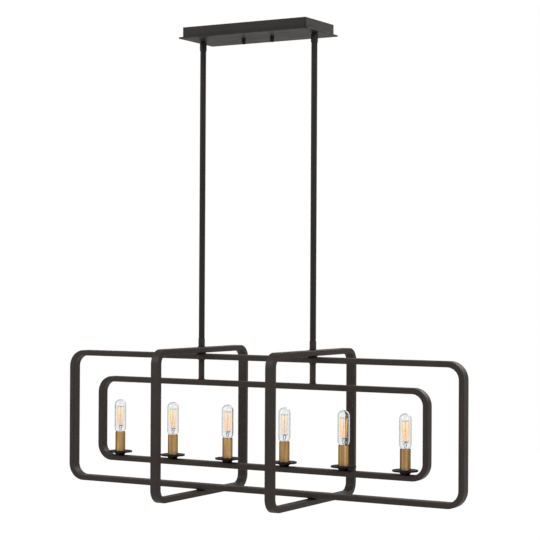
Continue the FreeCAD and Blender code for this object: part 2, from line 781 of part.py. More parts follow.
def shell_outside():
    return cell("cap_diameter") / 2 + cell("lamp_gap") + cell("shell_wall")


def lamp_cap(label):
    """Threaded brass cap with its insulated cone and contact tip; its rim is the origin."""
    crest = cell("cap_diameter") / 2
    root = crest - cell("thread_depth")
    inside = crest - cell("cap_wall")
    tall, pitch = cell("cap_tall"), cell("thread_pitch")
    tip = cell("tip_diameter") / 2
    bottom = -tall - cell("tip_cone")
    points = [
        (ZERO, bottom - cell("tip_tall")),
        (tip, bottom - cell("tip_tall")),
        (tip, bottom),
        (root, -tall),
    ]
    for turn in range(THREAD_TURNS):
        rise = -tall + pitch * (turn + THREAD_START)
        flank = pitch * THREAD_FLANK
        points += [(root, rise), (crest, rise + flank), (root, rise + flank * 2)]
    bead = pitch * THREAD_FLANK * 2
    points += [(crest, -bead), (crest, ZERO), (inside, ZERO), (inside, -tall), (ZERO, -tall)]
    return turned(label, points)


def lamp_glass(label):
    """Clear tubular glass with a domed end; the sleeve's top is its origin."""
    radius, wall = cell("glass_diameter") / 2, cell("glass_wall")
    neck = cell("cap_diameter") / 2 - cell("cap_wall")
    foot, foot_rise = cell("glass_foot") / 2, cell("glass_foot_rise")
    shoulder, tall = cell("glass_shoulder"), cell("glass_tall")
    neck_top = -cell("cap_top")
    neck_end = neck_top - cell("glass_neck_tall")
    spring = tall - radius
    points = [
        (neck - wall, neck_end),
        (neck, neck_end),
        (neck, neck_top),
        (foot, foot_rise),
        (radius, shoulder),
        (radius, spring),
        (ZERO, tall),
        (ZERO, tall - wall),
        (radius - wall, spring),
        (radius - wall, shoulder),
        (foot - wall, foot_rise + wall / 2),
        (neck - wall, neck_top + wall),
    ]
    return turned(label, points, domes=(5, 7))


def rod(start, stop, thickness):
    """A straight wire with round ends."""
    along = stop - start
    wire = Part.makeCylinder(thickness / 2, along.Length, start, along)
    return wire.fuse(Part.makeSphere(thickness / 2, stop))


def filament_shape():
    """Glass mount and centre post with the hairpin filament strung up and down round it."""
    thick = cell("filament_diameter").number
    post = cell("post_diameter").number
    top = (cell("glass_tall") - cell("cage_below_tip")).number
    low = top - cell("cage_tall").number
    mount_top = cell("mount_rise").number
    foot = -(cell("cap_top") + cell("glass_neck_tall")).number
    foot_radius = (cell("cap_diameter") / 2 - cell("cap_wall") - cell("glass_wall")).number
    upright = FreeCAD.Vector(0, 0, 1)
    pieces = [
        Part.makeCylinder(foot_radius, cell("mount_foot").number, FreeCAD.Vector(0, 0, foot)),
        Part.makeCylinder(cell("mount_diameter").number / 2, mount_top - foot, FreeCAD.Vector(0, 0, foot)),
        rod(upright * (mount_top - post), upright * top, post),
    ]
    hooks = []
    for strand in range(FILAMENT_STRANDS):
        turn = 2 * math.pi * strand / FILAMENT_STRANDS
        high = strand % 2 == 0
        reach = cell("cage_top_diameter" if high else "cage_foot_diameter").number / 2
        level = top if high else low
        hooks.append(FreeCAD.Vector(reach * math.cos(turn), reach * math.sin(turn), level))
        hub = upright * level
        pieces.append(rod(hub, hooks[-1], thick))
    for strand in range(FILAMENT_STRANDS - 1):
        pieces.append(rod(hooks[strand], hooks[strand + 1], thick))
    return pieces[0].multiFuse(pieces[1:])


def lights():
    """Six lights on the bottom bar of the inner frame; each lamp is three pieces."""
    inside_parts = {name: [] for name in ("sockets", "shells", "contacts", "nipples", "nuts")}
    filament = filament_shape()
    socket_floor = sleeve_top - cell("socket_recess") - cell("socket_depth")
    nipple_end = light_bar_top - bar_wall - cell("weld_nut_thick") - cell("thread_past_nut")
    nipple_long = seat + cell("nipple_grip") - nipple_end
    sleeve_radius = cell("sleeve_diameter") / 2
    shell_radius = shell_outside()
    for number, across in enumerate(light_places(), start=1):
        keep(place(bobeche(f"bobeche_{number}"), across, light_bar_top))
        sleeve_bore = sleeve_radius - cell("sleeve_wall")
        sleeve = ring(f"candle_sleeve_{number}", sleeve_radius, sleeve_bore, cell("sleeve_tall"))
        keep(place(sleeve, across, seat))

        inside_parts["sockets"].append(place(socket_body("socket"), across, seat))
        shell = ring("shell", shell_radius, shell_radius - cell("shell_wall"), cell("shell_tall"))
        shell_under = sleeve_top - cell("socket_recess") - cell("shell_tall")
        inside_parts["shells"].append(place(shell, across, shell_under))
        contact_radius, contact_tall = cell("contact_diameter") / 2, cell("contact_tall")
        contact_points = [(ZERO, ZERO), (contact_radius, ZERO), (contact_radius, contact_tall)]
        contact = turned("contact", contact_points + [(ZERO, contact_tall)])
        inside_parts["contacts"].append(place(contact, across, socket_floor))
        nipple = ring("nipple", pipe_radius, pipe_bore, nipple_long)
        inside_parts["nipples"].append(place(nipple, across, nipple_end))
        nut = hex_nut("nut", cell("weld_nut_flats"), pipe_radius, cell("weld_nut_thick"))
        inside_parts["nuts"].append(place(nut, across, light_bar_top - bar_wall))

        keep(place(lamp_cap(f"lamp_cap_{number}"), across, sleeve_top - cell("cap_top")))
        keep(place(lamp_glass(f"lamp_glass_{number}"), across, sleeve_top))
        wire = doc.addObject("Part::Feature", f"filament_{number}")
        wire.Label = f"filament_{number}"
        wire.Shape = filament.copy()
        keep(place(wire, across, sleeve_top))
    group("socket_bodies", inside_parts["sockets"])
    group("screw_shells", inside_parts["shells"])
    group("centre_contacts", inside_parts["contacts"])
    group("socket_nipples", inside_parts["nipples"])
    group("socket_weld_nuts", inside_parts["nuts"])


# ---------------------------------------------------------------- making and writing

mounting_bracket()
canopy_box()
canopy_plate()
canopy_fixings()
stems()
outer_frame()
inner_frame()
cross_frame()
crossing_screws()
lights()
doc.recompute()

failed = [item.Name for item in doc.Objects if {"Invalid", "Error"} & set(item.State)]
for piece in sub_parts:
    if piece.Shape.isNull() or not piece.Shape.isValid() or not piece.Shape.Solids:
        failed.append(piece.Label)
if failed:
    raise RuntimeError(f"not sound: {failed}")

os.makedirs("parts", exist_ok=True)
for piece in sub_parts:
    piece.Shape.exportStep(f"parts/{piece.Label}.step")
    print(f"{piece.Label}: {len(piece.Shape.Solids)} solids, {piece.Shape.Volume / 1000:.2f} cm3")
print(f"{len(sub_parts)} sub-parts")
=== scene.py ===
# %% [markdown]
# # A linear island pendant
#
# This lesson dresses a hanging light: a canopy on the ceiling, two stems, nested bar frames
# and six candle lights. The engineer's model comes first and stays where it is. We give its
# pieces their finishes, and make anew only what looks better as a mesh: the spun dishes, the
# lamp glass, the filaments and the screw threads.

# %% Load the engineer's model
import json
import math

import bmesh
import bpy
from mathutils import Matrix, Vector


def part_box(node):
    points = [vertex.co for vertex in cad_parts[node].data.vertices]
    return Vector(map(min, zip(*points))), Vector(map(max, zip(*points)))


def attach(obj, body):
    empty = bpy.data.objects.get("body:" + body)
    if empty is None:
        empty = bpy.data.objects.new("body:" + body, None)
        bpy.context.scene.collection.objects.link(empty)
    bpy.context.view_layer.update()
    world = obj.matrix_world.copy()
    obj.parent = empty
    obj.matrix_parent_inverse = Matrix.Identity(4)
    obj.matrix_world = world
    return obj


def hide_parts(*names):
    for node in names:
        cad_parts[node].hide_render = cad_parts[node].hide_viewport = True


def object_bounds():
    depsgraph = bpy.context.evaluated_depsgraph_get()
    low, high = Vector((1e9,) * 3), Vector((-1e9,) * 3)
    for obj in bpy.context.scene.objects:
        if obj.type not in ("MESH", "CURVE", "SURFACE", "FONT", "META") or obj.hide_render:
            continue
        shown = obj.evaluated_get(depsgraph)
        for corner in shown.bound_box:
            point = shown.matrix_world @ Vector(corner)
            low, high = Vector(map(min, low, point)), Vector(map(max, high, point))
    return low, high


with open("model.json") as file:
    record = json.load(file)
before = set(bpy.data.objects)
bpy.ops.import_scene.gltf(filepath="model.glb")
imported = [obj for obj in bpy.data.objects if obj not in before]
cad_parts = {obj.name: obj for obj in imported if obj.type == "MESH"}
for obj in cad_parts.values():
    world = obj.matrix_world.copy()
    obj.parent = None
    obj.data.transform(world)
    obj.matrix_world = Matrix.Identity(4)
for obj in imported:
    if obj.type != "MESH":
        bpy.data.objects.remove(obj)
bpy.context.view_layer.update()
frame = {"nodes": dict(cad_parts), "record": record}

nodes = frame["nodes"]
slot_of = {part["node"]: part["material_slot"] for part in frame["record"]["subparts"]}

# %% [markdown]
# ## The camera
#
# The camera stands where the photographer stood: to the right of the light, about three
# and a half metres off, a little above the frames, with a long lens that keeps upright
# lines upright. Its direction is built from a turn to the left, a slight tilt up and a
# slight roll, so each of the three can be read and changed by itself.

# %% Place the camera
CAMERA_PLACE = Vector((1.7759, -2.9971, -0.5441))
CAMERA_TURN = math.radians(30.18)
CAMERA_TILT = math.radians(0.44)
CAMERA_ROLL = math.radians(0.30)
LENS_MM = 109.53
SENSOR_MM = 36.0


def camera_matrix(place, turn, tilt, roll):
    reach = math.cos(tilt)
    forward = Vector((-math.sin(turn) * reach, math.cos(turn) * reach, math.sin(tilt)))
    level = Vector((math.cos(turn), math.sin(turn), 0.0))
    upright = level.cross(forward)
    right = level * math.cos(roll) + upright * math.sin(roll)
    up = upright * math.cos(roll) - level * math.sin(roll)
    matrix = Matrix((right, up, -forward)).transposed().to_4x4()
    matrix.translation = place
    return matrix


camera_data = bpy.data.cameras.new("camera")
camera_data.lens = LENS_MM
camera_data.sensor_width = SENSOR_MM
camera_data.clip_end = 100
camera = bpy.data.objects.new("camera", camera_data)
camera.matrix_world = camera_matrix(CAMERA_PLACE, CAMERA_TURN, CAMERA_TILT, CAMERA_ROLL)
bpy.context.scene.collection.objects.link(camera)
bpy.context.scene.camera = camera
bpy.context.scene.view_settings.view_transform = "Standard"
print("camera at", [round(value, 3) for value in CAMERA_PLACE])

# %% [markdown]
# ## Node building blocks
#
# Every finish below is a small network of shader nodes. A few short helpers keep the cells
# readable: they add a node and set its values, start a reusable group with named sockets,
# stretch a value, mix two colours or do a sum. The groups put out only colours, masks and
# heights. The shader itself stays in each material.

# %% Helpers for nodes and groups


def add_node(tree, kind, inputs=None, **settings):
    """Add a node, set its properties, and link or set its inputs."""
    node = tree.nodes.new(kind)
    for name, value in settings.items():
        setattr(node, name, value)
    for key, value in (inputs or {}).items():
        if isinstance(value, bpy.types.NodeSocket):
            tree.links.new(value, node.inputs[key])
        else:
            node.inputs[key].default_value = value
    return node


def new_group(name, inputs, outputs):
    """Start a shader node group. inputs maps a name to (socket kind, value)."""
    group = bpy.data.node_groups.new(name, "ShaderNodeTree")
    for socket, (kind, value) in inputs.items():
        made = group.interface.new_socket(socket, in_out="INPUT", socket_type=kind)
        made.default_value = value
    for socket, kind in outputs.items():
        group.interface.new_socket(socket, in_out="OUTPUT", socket_type=kind)
    return group, group.nodes.new("NodeGroupInput").outputs, group.nodes.new("NodeGroupOutput").inputs


FLOAT, COLOUR, VECTOR = "NodeSocketFloat", "NodeSocketColor", "NodeSocketVector"


def remap(tree, value, low, high, start=0.0, stop=1.0):
    """Turn a value from start to stop into low to high, and hold it there."""
    inputs = {"Value": value, "From Min": start, "From Max": stop, "To Min": low, "To Max": high}
    return add_node(tree, "ShaderNodeMapRange", inputs).outputs["Result"]


def spread(tree, noise):
    """Stretch a noise value, which seldom leaves 0.3 to 0.7, to 0 to 1."""
    return remap(tree, noise, 0.0, 1.0, 0.3, 0.7)


def mix_colour(tree, factor, first, second):
    node = add_node(tree, "ShaderNodeMix", data_type="RGBA")
    for key, value in ((0, factor), (6, first), (7, second)):
        if isinstance(value, bpy.types.NodeSocket):
            tree.links.new(value, node.inputs[key])
        else:
            node.inputs[key].default_value = value
    return node.outputs[2]


def math_node(tree, operation, first, second=0.0):
    return add_node(tree, "ShaderNodeMath", {0: first, 1: second}, operation=operation).outputs[0]


print("socket kinds for groups:", FLOAT, COLOUR, VECTOR)

# %% [markdown]
# ## Shared effects
#
# No real finish is one flat colour. Four effects are each built once as a node group, and
# placed in the finishes that need them with values of their own. The first is **mottle**,
# which is what a hand-rubbed or sprayed coat does: broad clouds of slightly different
# colour, and a fine grain that breaks up the shine. A painted picture could show it too,
# but noise needs no unwrapping and stays sharp in a close-up.

# %% Mottle
CLOUD_SHARE = 0.7


def make_mottle():
    inputs = {
        "First": (COLOUR, (0.05, 0.05, 0.05, 1)),
        "Second": (COLOUR, (0.1, 0.1, 0.1, 1)),
        "Cloud Scale": (FLOAT, 22.0),
        "Grain Scale": (FLOAT, 900.0),
    }
    outputs = {"Colour": COLOUR, "Cloud": FLOAT, "Grain": FLOAT}
    group, given, result = new_group("mottle", inputs, outputs)
    place = add_node(group, "ShaderNodeTexCoord").outputs["Object"]
    cloud_inputs = {"Vector": place, "Scale": given["Cloud Scale"], "Detail": 4.0, "Roughness": 0.6}
    cloud = add_node(group, "ShaderNodeTexNoise", cloud_inputs).outputs["Fac"]
    grain_inputs = {"Vector": place, "Scale": given["Grain Scale"], "Detail": 3.0}
    grain = add_node(group, "ShaderNodeTexNoise", grain_inputs).outputs["Fac"]
    broad = spread(group, cloud)
    fine = spread(group, grain)
    mostly_broad = math_node(group, "MULTIPLY", broad, CLOUD_SHARE)
    little_fine = math_node(group, "MULTIPLY", fine, 1.0 - CLOUD_SHARE)
    both = math_node(group, "ADD", mostly_broad, little_fine)
    group.links.new(mix_colour(group, both, given["First"], given["Second"]), result["Colour"])
    group.links.new(broad, result["Cloud"])
    group.links.new(fine, result["Grain"])
    return group


MOTTLE = make_mottle()
sockets = MOTTLE.interface.items_tree
print("mottle gives", [socket.name for socket in sockets if socket.in_out == "OUTPUT"])

# %% [markdown]
# ** Edge wear** finds edges by comparing the true normal with a rounded one, as a cloth finds
# them when somebody dusts the lamp. Noise breaks the line up, because wear is never even.
# **Painted crease shade** finds inner corners, where two pieces meet, and paints them dark as
# shade falls there. Ambient occlusion measures how closed in a place is, so it finds them.

# %% Edge wear and painted crease shade


def make_edge_wear():
    inputs = {"Reach": (FLOAT, 0.0012), "Breakup Scale": (FLOAT, 120.0), "Strength": (FLOAT, 1.0)}
    group, given, result = new_group("edge wear", inputs, {"Mask": FLOAT})
    reach = {"Radius": given["Reach"]}
    rounded = add_node(group, "ShaderNodeBevel", reach, samples=4).outputs["Normal"]
    flat = add_node(group, "ShaderNodeNewGeometry").outputs["Normal"]
    likeness = add_node(group, "ShaderNodeVectorMath", {0: rounded, 1: flat}, operation="DOT_PRODUCT")
    edge = remap(group, likeness.outputs["Value"], 0.0, 1.0, 0.99, 0.85)
    place = add_node(group, "ShaderNodeTexCoord").outputs["Object"]
    noise_inputs = {"Vector": place, "Scale": given["Breakup Scale"], "Detail": 5.0}
    patches = spread(group, add_node(group, "ShaderNodeTexNoise", noise_inputs).outputs["Fac"])
    worn = math_node(group, "MULTIPLY", math_node(group, "MULTIPLY", edge, patches), given["Strength"])
    group.links.new(worn, result["Mask"])
    return group


# Painted shade: inner corners that ambient occlusion finds closed in get a near-black colour.
def make_painted_crease_shade():
    inputs = {"Reach": (FLOAT, 0.006), "Strength": (FLOAT, 0.6)}
    group, given, result = new_group("painted_crease_shade", inputs, {"Mask": FLOAT})
    reach = {"Distance": given["Reach"]}
    openness = add_node(group, "ShaderNodeAmbientOcclusion", reach, samples=6).outputs["AO"]
    mask = remap(group, openness, 0.0, 1.0, 0.95, 0.45)
    group.links.new(math_node(group, "MULTIPLY", mask, given["Strength"]), result["Mask"])
    return group


EDGE_WEAR = make_edge_wear()
PAINTED_CREASE_SHADE = make_painted_crease_shade()
print("masks:", EDGE_WEAR.name, "and", PAINTED_CREASE_SHADE.name)

# %% [markdown]
# **Brushing** is noise stretched along one direction, like the marks of an abrasive belt.
# The stretch is a vector, so each finish picks its own direction: along the axis with the
# small number, the marks run long.

# %% Brushing


def make_brushing():
    inputs = {"Stretch": (VECTOR, (900.0, 900.0, 20.0))}
    group, given, result = new_group("brushing", inputs, {"Line": FLOAT})
    place = add_node(group, "ShaderNodeTexCoord").outputs["Object"]
    factors = {0: place, 1: given["Stretch"]}
    drawn = add_node(group, "ShaderNodeVectorMath", factors, operation="MULTIPLY")
    noise = {"Vector": drawn.outputs[0], "Scale": 1.0, "Detail": 3.0, "Roughness": 0.65}
    line = spread(group, add_node(group, "ShaderNodeTexNoise", noise).outputs["Fac"])
    group.links.new(line, result["Line"])
    return group


BRUSHING = make_brushing()
print("effect groups:", [group.name for group in (MOTTLE, EDGE_WEAR, BRUSHING, PAINTED_CREASE_SHADE)])

# %% [markdown]
# ## Finishes
#
# Each finish is one function that makes one material. Four short helpers start a material,
# place a shared effect in it, turn a height into relief and set the roughness. On metal,
# plastic and lead wire the roughness comes from noise between two limits, because no real
# surface shines evenly.

# %% Start a material and place the shared effects


def start_material(name, **values):
    """A material with its shader; plain values are set on the shader's own sockets."""
    material = bpy.data.materials.new(name)
    material.use_nodes = True
    tree = material.node_tree
    shader = tree.nodes["Principled BSDF"]
    for socket, value in values.items():
        shader.inputs[socket.replace("_", " ")].default_value = value
    return material, tree, shader


def use_group(tree, group, inputs=None):
    node = add_node(tree, "ShaderNodeGroup", node_tree=group)
    for key, value in (inputs or {}).items():
        node.inputs[key].default_value = value
    return node.outputs


def add_bump(tree, shader, height, strength, depth):
    inputs = {"Height": height, "Strength": strength, "Distance": depth}
    bump = add_node(tree, "ShaderNodeBump", inputs)
    tree.links.new(bump.outputs["Normal"], shader.inputs["Normal"])


def set_roughness(tree, shader, value, low, high):
    tree.links.new(remap(tree, value, low, high), shader.inputs["Roughness"])


print("helpers:", [helper.__name__ for helper in (start_material, use_group, add_bump, set_roughness)])

# %% [markdown]
# The frames are steel under a satin dark bronze: almost black brown in soft clouds of two
# close tones, with faint rubbed edges and painted shade in the creases. On the real light it
# is a painted and rubbed coat, not bare metal, so the shader stays non-metallic with a weak
# shine. The canopy and stems get a darker, duller copy, and the dishes a darker one still:
# painted shade, for the less light that reaches them. So the function takes the two tones and the
# shine.

# %% Dark bronze


def dark_bronze(name, dark, light, shine):
    material, tree, shader = start_material(name, Specular_IOR_Level=shine)
    mottle = use_group(tree, MOTTLE, {"First": dark, "Second": light, "Cloud Scale": 14.0})
    wear = use_group(tree, EDGE_WEAR, {"Strength": 0.30, "Breakup Scale": 45.0})
    rubbed = mix_colour(tree, wear["Mask"], mottle["Colour"], (0.050, 0.035, 0.026, 1))
    # Painted shade in the creases: the colour is mixed towards near black where pieces meet.
    painted_crease_shade = use_group(tree, PAINTED_CREASE_SHADE, {"Reach": 0.010, "Strength": 0.9})
    colour = mix_colour(tree, painted_crease_shade["Mask"], rubbed, (0.002, 0.0015, 0.001, 1))
    tree.links.new(colour, shader.inputs["Base Color"])
    set_roughness(tree, shader, mottle["Cloud"], 0.40, 0.52)
    add_bump(tree, shader, mottle["Grain"], 0.12, 0.0002)
    return material


FRAME_BRONZE = dark_bronze(
    "dark bronze", (0.024, 0.0178, 0.0147, 1), (0.037, 0.0248, 0.0205, 1), 0.28)
# Painted shade: the canopy and dish copies are the same bronze made darker and less shiny.
SHADED_CANOPY_BRONZE = dark_bronze(
    "shaded canopy bronze", (0.0150, 0.0122, 0.0105, 1), (0.0225, 0.0175, 0.0150, 1), 0.19)
SHADED_DISH_BRONZE = dark_bronze(
    "shaded dish bronze", (0.009, 0.0062, 0.0050, 1), (0.018, 0.0105, 0.0085, 1), 0.07)
print("bronzes:", [finish.name for finish in (FRAME_BRONZE, SHADED_CANOPY_BRONZE, SHADED_DISH_BRONZE)])

# %% [markdown]
# The candle sleeves are brass tube, brushed along their length and then toned with a brown
# lacquer. Long streaks show where the belt bit deeper. At the sides, where we look along
# the wall, Layer Weight darkens the colour: painted shade where the round tube turns away.

# %% Antique brass for the candle sleeves


def antique_brass():
    edge_tint = (0.50, 0.29, 0.14, 1)
    material, tree, shader = start_material("antique brass", Metallic=0.8, Specular_Tint=edge_tint)
    tones = {
        "First": (0.78, 0.47, 0.18, 1),
        "Second": (0.94, 0.62, 0.27, 1),
        "Cloud Scale": 60.0,
        "Grain Scale": 700.0,
    }
    mottle = use_group(tree, MOTTLE, tones)
    lines = use_group(tree, BRUSHING, {"Stretch": (1400.0, 1400.0, 25.0)})
    streaks = use_group(tree, BRUSHING, {"Stretch": (240.0, 240.0, 6.0)})
    streak_mask = math_node(tree, "MULTIPLY", streaks["Line"], 0.9)
    streaked = mix_colour(tree, streak_mask, mottle["Colour"], (0.30, 0.155, 0.055, 1))
    # Painted shade: the colour darkens towards the sides of the tube, where we look along the wall.
    facing = add_node(tree, "ShaderNodeLayerWeight", {"Blend": 0.5}).outputs["Facing"]
    painted_side_shade_mask = remap(tree, facing, 0.0, 0.82, 0.20, 0.65)
    side_shaded = mix_colour(tree, painted_side_shade_mask, streaked, (0.17, 0.080, 0.032, 1))
    wear = use_group(tree, EDGE_WEAR, {"Strength": 0.8, "Reach": 0.0006})
    colour = mix_colour(tree, wear["Mask"], side_shaded, (0.72, 0.55, 0.30, 1))
    tree.links.new(colour, shader.inputs["Base Color"])
    set_roughness(tree, shader, lines["Line"], 0.30, 0.46)
    add_bump(tree, shader, lines["Line"], 0.25, 0.0001)
    return material


SLEEVE_BRASS = antique_brass()
print(SLEEVE_BRASS.name, "has", len(SLEEVE_BRASS.node_tree.nodes), "nodes")

# %% [markdown]
# What hides inside gets plain workshop finishes: bright brass where current flows, zinc
# plated steel for what is bolted, and black moulded plastic for the sockets. They show
# when a lamp is lifted out or the canopy is seen from above.

# %% Bright brass, plated steel and moulded plastic


def bright_brass():
    material, tree, shader = start_material("bright brass", Metallic=1.0)
    tones = {"First": (0.62, 0.46, 0.20, 1), "Second": (0.75, 0.60, 0.32, 1)}
    mottle = use_group(tree, MOTTLE, tones)
    tree.links.new(mottle["Colour"], shader.inputs["Base Color"])
    set_roughness(tree, shader, mottle["Grain"], 0.22, 0.38)
    return material


def plated_steel():
    material, tree, shader = start_material("plated steel", Metallic=1.0)
    tones = {"First": (0.46, 0.47, 0.47, 1), "Second": (0.62, 0.61, 0.57, 1)}
    mottle = use_group(tree, MOTTLE, tones)
    lines = use_group(tree, BRUSHING, {"Stretch": (25.0, 900.0, 900.0)})
    tree.links.new(mottle["Colour"], shader.inputs["Base Color"])
    set_roughness(tree, shader, lines["Line"], 0.28, 0.45)
    add_bump(tree, shader, lines["Line"], 0.1, 0.0001)
    return material


def socket_plastic():
    material, tree, shader = start_material("socket plastic")
    tones = {"First": (0.014, 0.014, 0.014, 1), "Second": (0.03, 0.028, 0.026, 1)}
    mottle = use_group(tree, MOTTLE, tones)
    tree.links.new(mottle["Colour"], shader.inputs["Base Color"])
    set_roughness(tree, shader, mottle["Grain"], 0.5, 0.7)
    return material


BRIGHT_BRASS = bright_brass()
PLATED_STEEL = plated_steel()
SOCKET_PLASTIC = socket_plastic()
print("inside:", [finish.name for finish in (BRIGHT_BRASS, PLATED_STEEL, SOCKET_PLASTIC)])

# %% [markdown]
# ## Lamp glass and glowing filament
#
# Clear glass against a white room almost disappears. What shows is its rim, where we look
# along the wall instead of through it. Here that dark rim is painted: Layer Weight's Facing
# value is near 1 at the rim, so it darkens the glass colour there and leaves the middle clear,
# in place of the dark things real glass would bend and reflect. The filament lights itself,
# yellow at the top of the cage and more orange towards its foot.
# The leads below it are dull, oxidised wire.

# %% Clear glass, filament and lead wire
GLOW_LOW = 0.015
GLOW_HIGH = 0.050


def clear_glass(name, rim):
    material, tree, shader = start_material(name, Roughness=0.0, IOR=1.45, Transmission_Weight=1.0)
    facing = add_node(tree, "ShaderNodeLayerWeight", {"Blend": 0.5}).outputs["Facing"]
    # Painted dark rim: the glass colour turns grey where the surface turns away from the eye.
    painted_rim_mask = remap(tree, facing, 0.0, 1.0, 0.30, 0.95)
    tones = {"First": (0.93, 0.94, 0.94, 1), "Second": (0.88, 0.895, 0.90, 1)}
    mottle = use_group(tree, MOTTLE, tones)
    tree.links.new(mix_colour(tree, painted_rim_mask, mottle["Colour"], rim), shader.inputs["Base Color"])
    return material


def glowing_filament():
    material, tree, shader = start_material("glowing filament", Roughness=0.6, Emission_Strength=1.0)
    shader.inputs["Base Color"].default_value = (0.25, 0.08, 0.02, 1)
    place = add_node(tree, "ShaderNodeTexCoord").outputs["Object"]
    height = add_node(tree, "ShaderNodeSeparateXYZ", {"Vector": place}).outputs["Z"]
    share = remap(tree, height, 0.0, 1.0, GLOW_LOW, GLOW_HIGH)
    heat = mix_colour(tree, share, (1.0, 0.36, 0.08, 1), (1.0, 0.66, 0.13, 1))
    mottle = use_group(tree, MOTTLE, {
        "First": (1.0, 0.40, 0.07, 1),
        "Second": (1.0, 0.82, 0.24, 1),
        "Cloud Scale": 110.0,
        "Grain Scale": 400.0,
    })
    tree.links.new(mix_colour(tree, 0.5, heat, mottle["Colour"]), shader.inputs["Emission Color"])
    return material


def lead_wire():
    material, tree, shader = start_material("lead wire")
    tones = {"First": (0.012, 0.011, 0.010, 1), "Second": (0.035, 0.030, 0.026, 1)}
    mottle = use_group(tree, MOTTLE, tones)
    tree.links.new(mottle["Colour"], shader.inputs["Base Color"])
    set_roughness(tree, shader, mottle["Grain"], 0.35, 0.6)
    return material


# The last value of each glass is its painted dark rim colour.
LAMP_GLASS = clear_glass("lamp glass", (0.24, 0.25, 0.25, 1))
MOUNT_GLASS = clear_glass("mount glass", (0.62, 0.64, 0.64, 1))
GLOWING_FILAMENT = glowing_filament()
LEAD_WIRE = lead_wire()
print("lamp:", [finish.name for finish in (LAMP_GLASS, MOUNT_GLASS, GLOWING_FILAMENT, LEAD_WIRE)])

# %% [markdown]
# ## Give every piece its finish
#
# The record says which slot each of the engineer's pieces belongs to, so one loop dresses
# them all. The canopy, its nuts, the stems and their collars take the darker bronze copy with
# painted shade. The dishes, the glass mounts and the leads are made anew further down, and
# take finishes of their own; the dishes' bronze is painted darker still.

# %% Lay on the finishes
FINISHES = {
    "dark_bronze": FRAME_BRONZE,
    "antique_brass": SLEEVE_BRASS,
    "contact_brass": BRIGHT_BRASS,
    "plated_steel": PLATED_STEEL,
    "socket_plastic": SOCKET_PLASTIC,
    "lamp_glass": LAMP_GLASS,
    "filament": GLOWING_FILAMENT,
}
CANOPY_PIECES = [
    "canopy_box", "canopy_plate", "canopy_cap_nuts",
    "stem_left", "stem_right", "swivel_collars",
]
for name, node in nodes.items():
    # The canopy pieces take the bronze copy with painted shade.
    finish = SHADED_CANOPY_BRONZE if name in CANOPY_PIECES else FINISHES[slot_of[name]]
    if not node.material_slots:
        node.data.materials.append(finish)
    for material_slot in node.material_slots:
        material_slot.material = finish
print("slots:", sorted(FINISHES), "pieces in shaded canopy bronze:", len(CANOPY_PIECES))

# %% [markdown]
# ## Turned pieces
#
# Dishes, glass tubes and screw threads are all turned about an axis. One function makes
# them: it walks round the axis and sets each point of the profile out from it. A second
# function rounds the profile's corners with short curves, because nothing on the real piece
# is knife sharp. For a thread, the distance also grows and shrinks with angle and height
# together, and that makes a true helix.

# %% Round the corners of a profile
CORNER_REACH = 0.48  # a rounded corner takes at most this share of each side
NEAR = 1e-7  # lengths closer than this are the same


def rounded_profile(corners, steps=5):
    """Round each corner (r, z, radius) of an open profile with a short curve."""
    points = []
    for index, (r, z, radius) in enumerate(corners):
        here = Vector((r, z))
        if radius == 0 or index in (0, len(corners) - 1):
            points.append(here)
            continue
        before = Vector(corners[index - 1][:2])
        after = Vector(corners[index + 1][:2])
        back, ahead = before - here, after - here
        start = here + back.normalized() * min(radius, back.length * CORNER_REACH)
        stop = here + ahead.normalized() * min(radius, ahead.length * CORNER_REACH)
        for step in range(steps + 1):
            share = step / steps
            points.append(start.lerp(here, share).lerp(here.lerp(stop, share), share))
    return points


print("a corner becomes", len(rounded_profile([(0, 0, 0), (1, 0, 0.1), (1, 1, 0)])) - 2, "points")

# %% Turn a profile about an upright axis


def turn_profile(name, profile, material, segments=64, ridge=None, closed=True):
    """Turn a profile of (r, z) points. ridge(angle, r, z) is added to the radius."""
    mesh = bmesh.new()
    rings = []
    for r, z in profile:
        if r < NEAR:
            rings.append([mesh.verts.new((0, 0, z))])
            continue
        ring = []
        for number in range(segments):
            angle = 2 * math.pi * number / segments
            reach = r + (ridge(angle, r, z) if ridge else 0.0)
            ring.append(mesh.verts.new((reach * math.cos(angle), reach * math.sin(angle), z)))
        rings.append(ring)
    pairs = list(zip(rings, rings[1:] + rings[:1])) if closed else list(zip(rings, rings[1:]))
    for low, high in pairs:
        if len(low) == 1 and len(high) == 1:
            continue
        for number in range(segments):
            following = (number + 1) % segments
            if len(low) == 1:
                mesh.faces.new((low[0], high[following], high[number]))
            elif len(high) == 1:
                mesh.faces.new((low[number], low[following], high[0]))
            else:
                mesh.faces.new((low[number], low[following], high[following], high[number]))
    bmesh.ops.recalc_face_normals(mesh, faces=mesh.faces)
    data = bpy.data.meshes.new(name)
    mesh.to_mesh(data)
    mesh.free()
    for face in data.polygons:
        face.use_smooth = True
    data.materials.append(material)
    return data


print("turned pieces have", turn_profile.__defaults__[0], "sides unless more or fewer are asked for")

# %% [markdown]
# Every new piece is then set up in the same way. It stands at its place in the frame, rides
# on its body, and may take the place of one of the engineer's pieces.

# %% Stand a piece in the frame


def stand(name, data, place, body, replaced=None):
    """Put a piece of mesh at a place in the frame and on its body."""
    piece = bpy.data.objects.new(name, data)
    piece.location = place
    bpy.context.scene.collection.objects.link(piece)
    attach(piece, body)
    if replaced:
        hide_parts(replaced)


# %% [markdown]
# ## Measures of one light
#
# All six lights are alike, so the measures are taken once, from the engineer's pieces of
# the first light. Their boxes say where each piece starts and ends.

# %% Measure the lights
LIGHT_NUMBERS = range(1, 7)


def middle_of(node):
    low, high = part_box(node)
    return (low + high) / 2


